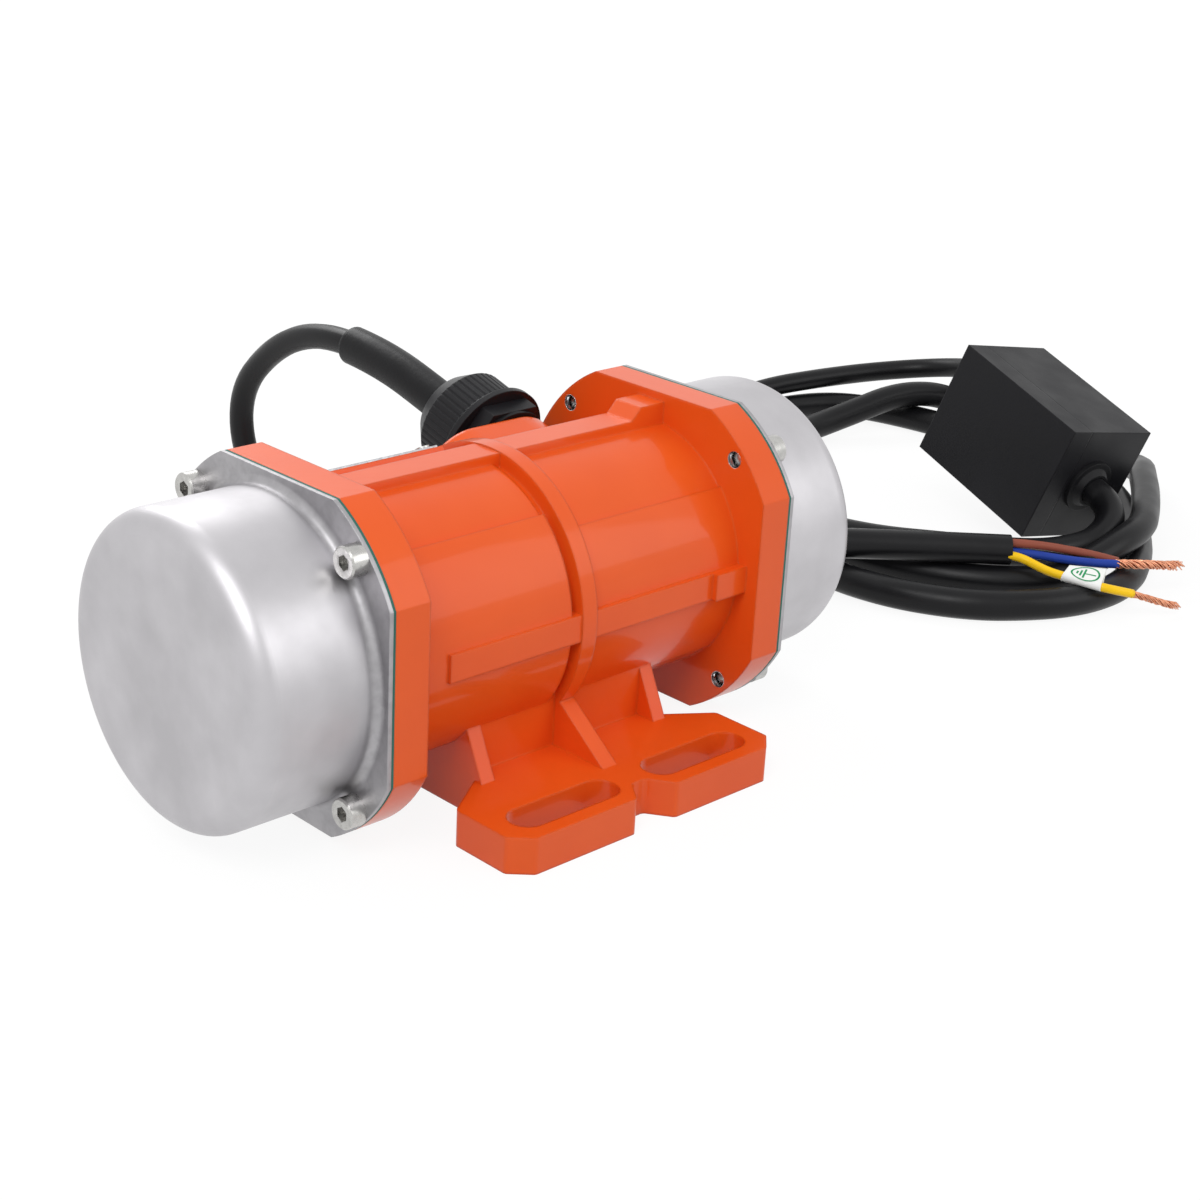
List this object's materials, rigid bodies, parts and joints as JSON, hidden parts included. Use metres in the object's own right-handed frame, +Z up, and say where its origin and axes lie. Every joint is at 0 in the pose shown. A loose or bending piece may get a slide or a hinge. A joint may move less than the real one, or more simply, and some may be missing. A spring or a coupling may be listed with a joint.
{
  "type": "vibration motor",
  "caption": "Foot-mounted electric vibration motor with eccentric weights under drawn end covers, a cable gland, a capacitor box and a loose supply lead.",
  "frame": {"origin": "centre of the foot's mounting face, below the middle of the motor", "axes": "+X along the shaft towards the gland end, +Y to the side that the cable gland leaves, +Z up from the mounting face"},
  "size_m": [0.4057, 0.2214, 0.0775],
  "materials": {
    "orange_paint": "glossy orange enamel over cast aluminium",
    "steel_sheet_cover": "deep-drawn stainless sheet, satin",
    "zinc_steel": "zinc-plated steel",
    "spring_steel": "phosphated spring steel",
    "cork_gasket": "green gasket sheet",
    "aluminium_plate": "plain anodised plate",
    "die_cast_aluminium": "die-cast aluminium, as cast",
    "bearing_steel": "ground bearing steel",
    "cage_brass": "pressed cage",
    "shaft_steel": "turned steel",
    "weight_iron": "machined cast iron",
    "silicon_steel": "stacked electrical sheet",
    "winding_enamel": "varnished enamelled copper winding, taped",
    "gland_nylon": "black nylon",
    "black_rubber": "black rubber",
    "sleeve_plastic": "black braided sleeve",
    "cable_jacket": "black rubber cable jacket, semi-matt",
    "box_plastic": "black moulded plastic",
    "capacitor_case": "white plastic capacitor case",
    "brown_insulation": "brown PVC insulation",
    "blue_insulation": "blue PVC insulation",
    "yellow_insulation": "yellow PVC insulation",
    "bare_copper": "twisted bare copper strands",
    "white_label": "white wrap-round label"
  },
  "bodies": {
    "frame": {"bearing_outer_ring_left": "bearing_steel", "bearing_outer_ring_right": "bearing_steel", "blue_wire": "blue_insulation", "box_body": "box_plastic", "box_inlet_grommet": "black_rubber", "box_lid": "box_plastic", "box_outlet_grommet": "black_rubber", "brown_wire": "brown_insulation", "cable_sleeve": "sleeve_plastic", "capacitor": "capacitor_case", "cover_gasket_left": "cork_gasket", "cover_gasket_right": "cork_gasket", "cover_screws_left": "zinc_steel", "cover_screws_right": "zinc_steel", "earth_copper": "bare_copper", "earth_tag": "white_label", "end_cover_left": "steel_sheet_cover", "end_cover_right": "steel_sheet_cover", "end_shield_left": "die_cast_aluminium", "end_shield_right": "die_cast_aluminium", "gland_body": "gland_nylon", "gland_cap": "gland_nylon", "gland_seal": "black_rubber", "gland_washer": "black_rubber", "housing": "orange_paint", "live_copper": "bare_copper", "motor_cable": "cable_jacket", "name_plate": "aluminium_plate", "plate_rivets": "zinc_steel", "shield_clips": "spring_steel", "shield_screws_left": "zinc_steel", "shield_screws_right": "zinc_steel", "stator_core": "silicon_steel", "supply_coil": "cable_jacket", "supply_lead": "cable_jacket", "supply_tail": "cable_jacket", "windings_left": "winding_enamel", "windings_right": "winding_enamel", "yellow_wire": "yellow_insulation"},
    "rotor": {"shaft": "shaft_steel", "rotor_core": "silicon_steel", "rotor_end_rings": "die_cast_aluminium", "spacers": "shaft_steel", "weight_keys": "shaft_steel", "shaft_clips": "spring_steel", "bearing_inner_ring_left": "bearing_steel", "inner_weight_left": "weight_iron", "bearing_inner_ring_right": "bearing_steel", "inner_weight_right": "weight_iron"},
    "cage_left": {"bearing_cage_left": "cage_brass", "bearing_balls_left": "bearing_steel"},
    "adjustable_weight_left": {"outer_weight_left": "weight_iron", "set_screw_left": "zinc_steel"},
    "cage_right": {"bearing_cage_right": "cage_brass", "bearing_balls_right": "bearing_steel"},
    "adjustable_weight_right": {"outer_weight_right": "weight_iron", "set_screw_right": "zinc_steel"}
  },
  "joints": [
    {"name": "rotor_spin", "type": "hinge", "parent": "frame", "child": "rotor", "pos_m": [0, 0, 0.0395], "axis": [1, 0, 0], "continuous": true},
    {"name": "cage_spin_left", "type": "hinge", "parent": "frame", "child": "cage_left", "pos_m": [-0.051, 0, 0.0395], "axis": [1, 0, 0], "continuous": true},
    {"name": "cage_spin_right", "type": "hinge", "parent": "frame", "child": "cage_right", "pos_m": [0.051, 0, 0.0395], "axis": [1, 0, 0], "continuous": true},
    {"name": "weight_setting_left", "type": "hinge", "parent": "rotor", "child": "adjustable_weight_left", "pos_m": [-0.07625, 0, 0.0395], "axis": [1, 0, 0], "range_deg": [0, 180]},
    {"name": "weight_setting_right", "type": "hinge", "parent": "rotor", "child": "adjustable_weight_right", "pos_m": [0.07625, 0, 0.0395], "axis": [1, 0, 0], "range_deg": [0, 180]}
  ],
  "couplings": [
    {"joint": "cage_spin_left", "follows": "rotor_spin", "ratio": 0.3659},
    {"joint": "cage_spin_right", "follows": "rotor_spin", "ratio": 0.3659}
  ]
}
